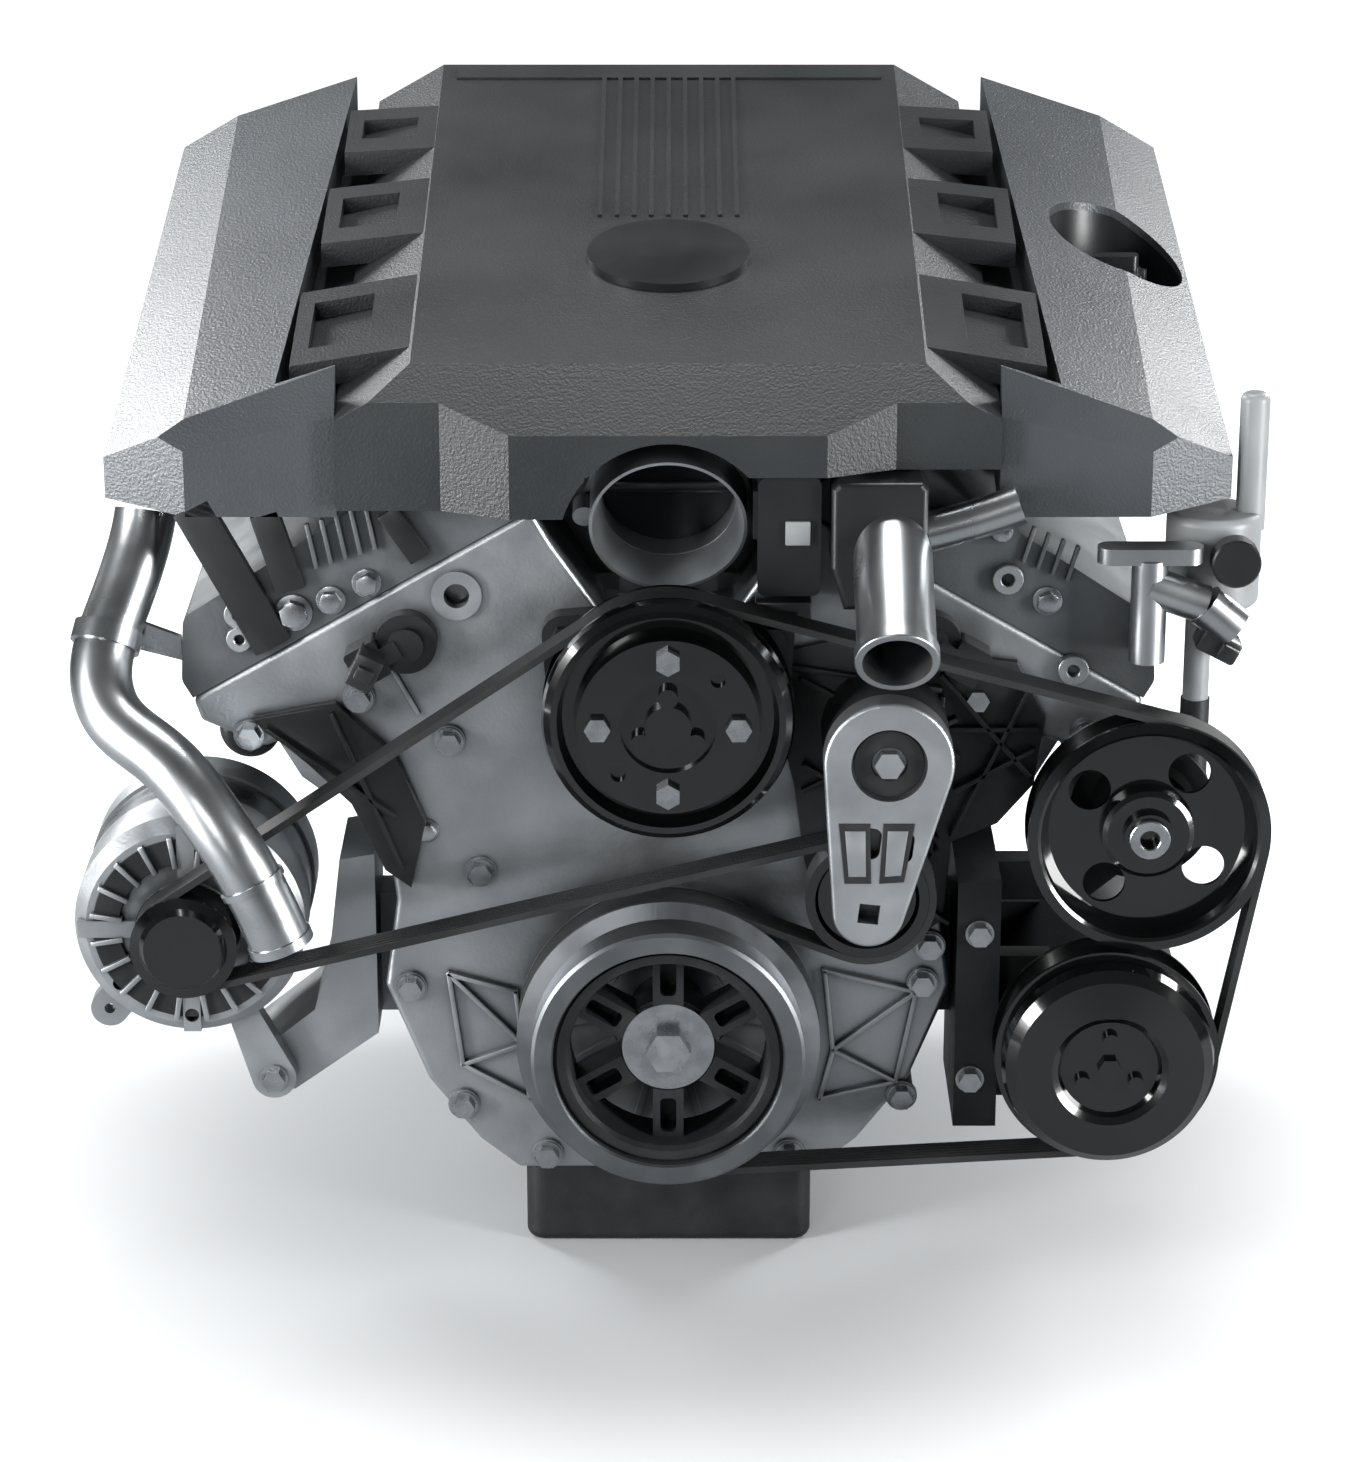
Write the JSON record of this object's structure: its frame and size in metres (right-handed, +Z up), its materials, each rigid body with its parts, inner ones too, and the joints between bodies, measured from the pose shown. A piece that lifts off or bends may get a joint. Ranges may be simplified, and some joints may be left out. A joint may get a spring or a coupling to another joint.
{
  "type": "car engine",
  "caption": "V engine with belt-driven pumps and alternator at the front, overhead camshafts, cast covers, a throttle inlet and a ribbed top cover over both banks.",
  "frame": {"origin": "crankshaft centreline at the rear face of the cylinder block, which is also the rear face of the flywheel flange", "axes": "+Z up, -Y towards the belt drive at the front, +X to the right as seen from the front"},
  "size_m": [0.7376, 0.5646, 0.7009],
  "materials": {
    "cast_aluminium": "as-cast aluminium, lightly blasted",
    "bright_aluminium": "turned aluminium",
    "dark_casting": "dark coated aluminium casting",
    "black_plastic": "grained black moulding",
    "grey_plastic": "fine textured silver-grey moulding",
    "black_steel": "gloss black painted steel",
    "bright_steel": "zinc plated steel",
    "forged_steel": "machined forging",
    "iron": "cast iron",
    "rubber": "matt black"
  },
  "bodies": {
    "engine": {"block": "cast_aluminium", "pistons": "cast_aluminium", "left_head": "cast_aluminium", "right_head": "cast_aluminium", "left_cam_cover": "cast_aluminium", "right_cam_cover": "cast_aluminium", "front_cover": "cast_aluminium", "flange_bolts": "bright_steel", "upper_oil_pan": "cast_aluminium", "sump": "black_steel", "intake_manifold": "cast_aluminium", "throttle_housing": "cast_aluminium", "throttle_actuator": "black_plastic", "engine_cover": "black_plastic", "left_cover_wing": "grey_plastic", "right_cover_wing": "grey_plastic", "cover_badge": "black_plastic", "water_pump_housing": "dark_casting", "thermostat_housing": "black_plastic", "coolant_tubes": "bright_aluminium", "coolant_pipe": "bright_aluminium", "alternator_front_housing": "cast_aluminium", "alternator_rear_housing": "cast_aluminium", "alternator_stator": "forged_steel", "alternator_bracket": "cast_aluminium", "accessory_bracket": "dark_casting", "steering_pump": "dark_casting", "reservoir": "grey_plastic", "reservoir_cap": "black_plastic", "compressor_body": "dark_casting", "tensioner_base": "dark_casting", "drive_belt": "rubber", "ignition_coils": "black_plastic", "left_exhaust_manifold": "iron", "right_exhaust_manifold": "iron", "cam_solenoids": "black_plastic", "timing_chains": "forged_steel", "air_valve": "bright_aluminium"},
    "crank": {"crankshaft": "forged_steel", "crank_sprocket": "forged_steel", "damper_hub": "iron", "damper_rubber": "rubber", "damper_ring": "forged_steel", "crank_bolt": "bright_steel"},
    "left_intake_cam": {"left_intake_camshaft": "forged_steel"},
    "left_exhaust_cam": {"left_exhaust_camshaft": "forged_steel"},
    "right_intake_cam": {"right_intake_camshaft": "forged_steel"},
    "right_exhaust_cam": {"right_exhaust_camshaft": "forged_steel"},
    "water_pump": {"water_pump_pulley": "black_steel", "water_pump_rotor": "forged_steel", "pump_pulley_bolts": "bright_steel"},
    "alternator": {"alternator_rotor": "forged_steel", "alternator_pulley": "black_steel"},
    "steering": {"steering_pulley": "black_steel"},
    "compressor_drive": {"compressor_pulley": "black_steel"},
    "compressor_clutch": {"clutch_plate": "black_steel"},
    "tensioner": {"tensioner_arm": "cast_aluminium"},
    "tensioner_roller": {"tensioner_pulley": "black_steel"},
    "throttle": {"throttle_plate": "bright_aluminium"},
    "filler_cap": {"oil_filler_cap": "black_plastic"}
  },
  "joints": [
    {"name": "crank_spin", "type": "hinge", "parent": "engine", "child": "crank", "pos_m": [0, 0, 0], "axis": [0, 1, 0], "continuous": true},
    {"name": "left_intake_cam_spin", "type": "hinge", "parent": "engine", "child": "left_intake_cam", "pos_m": [-0.12959, 0, 0.30046], "axis": [0, 1, 0], "continuous": true},
    {"name": "left_exhaust_cam_spin", "type": "hinge", "parent": "engine", "child": "left_exhaust_cam", "pos_m": [-0.24737, 0, 0.23246], "axis": [0, 1, 0], "continuous": true},
    {"name": "right_intake_cam_spin", "type": "hinge", "parent": "engine", "child": "right_intake_cam", "pos_m": [0.12959, 0, 0.30046], "axis": [0, 1, 0], "continuous": true},
    {"name": "right_exhaust_cam_spin", "type": "hinge", "parent": "engine", "child": "right_exhaust_cam", "pos_m": [0.24737, 0, 0.23246], "axis": [0, 1, 0], "continuous": true},
    {"name": "water_pump_spin", "type": "hinge", "parent": "engine", "child": "water_pump", "pos_m": [0, 0, 0.213], "axis": [0, 1, 0], "continuous": true},
    {"name": "alternator_spin", "type": "hinge", "parent": "engine", "child": "alternator", "pos_m": [-0.298, 0, 0.063], "axis": [0, 1, 0], "continuous": true},
    {"name": "steering_pump_spin", "type": "hinge", "parent": "engine", "child": "steering", "pos_m": [0.293, 0, 0.136], "axis": [0, 1, 0], "continuous": true},
    {"name": "compressor_pulley_spin", "type": "hinge", "parent": "engine", "child": "compressor_drive", "pos_m": [0.272, 0, -0.009], "axis": [0, 1, 0], "continuous": true},
    {"name": "compressor_shaft_spin", "type": "hinge", "parent": "engine", "child": "compressor_clutch", "pos_m": [0.272, 0, -0.009], "axis": [0, 1, 0], "continuous": true},
    {"name": "tensioner_swing", "type": "hinge", "parent": "engine", "child": "tensioner", "pos_m": [0.133, 0, 0.19], "axis": [0, 1, 0], "range_deg": [0, 20], "stiffness_Nm_per_rad": 40, "springref_deg": -20.05, "deforming": ["drive_belt"]},
    {"name": "tensioner_pulley_spin", "type": "hinge", "parent": "tensioner", "child": "tensioner_roller", "pos_m": [0.122, 0, 0.094], "axis": [0, 1, 0], "continuous": true},
    {"name": "throttle_plate_turn", "type": "hinge", "parent": "engine", "child": "throttle", "pos_m": [0, -0.41553, 0.33337], "axis": [1, 0, 0], "range_deg": [0, 80], "stiffness_Nm_per_rad": 0.05, "springref_deg": -11.46},
    {"name": "filler_cap_turn", "type": "hinge", "parent": "engine", "child": "filler_cap", "pos_m": [0.279, -0.203, 0.414], "axis": [0, 0, 1], "range_deg": [0, 90]}
  ],
  "couplings": [
    {"joint": "left_intake_cam_spin", "follows": "crank_spin", "ratio": 0.5},
    {"joint": "left_exhaust_cam_spin", "follows": "crank_spin", "ratio": 0.5},
    {"joint": "right_intake_cam_spin", "follows": "crank_spin", "ratio": 0.5},
    {"joint": "right_exhaust_cam_spin", "follows": "crank_spin", "ratio": 0.5},
    {"joint": "water_pump_spin", "follows": "crank_spin", "ratio": 1.2344},
    {"joint": "alternator_spin", "follows": "crank_spin", "ratio": 2.9583},
    {"joint": "steering_pump_spin", "follows": "crank_spin", "ratio": 1.2597},
    {"joint": "compressor_pulley_spin", "follows": "crank_spin", "ratio": 1.3622},
    {"joint": "tensioner_pulley_spin", "follows": "crank_spin", "ratio": -2.3538}
  ]
}
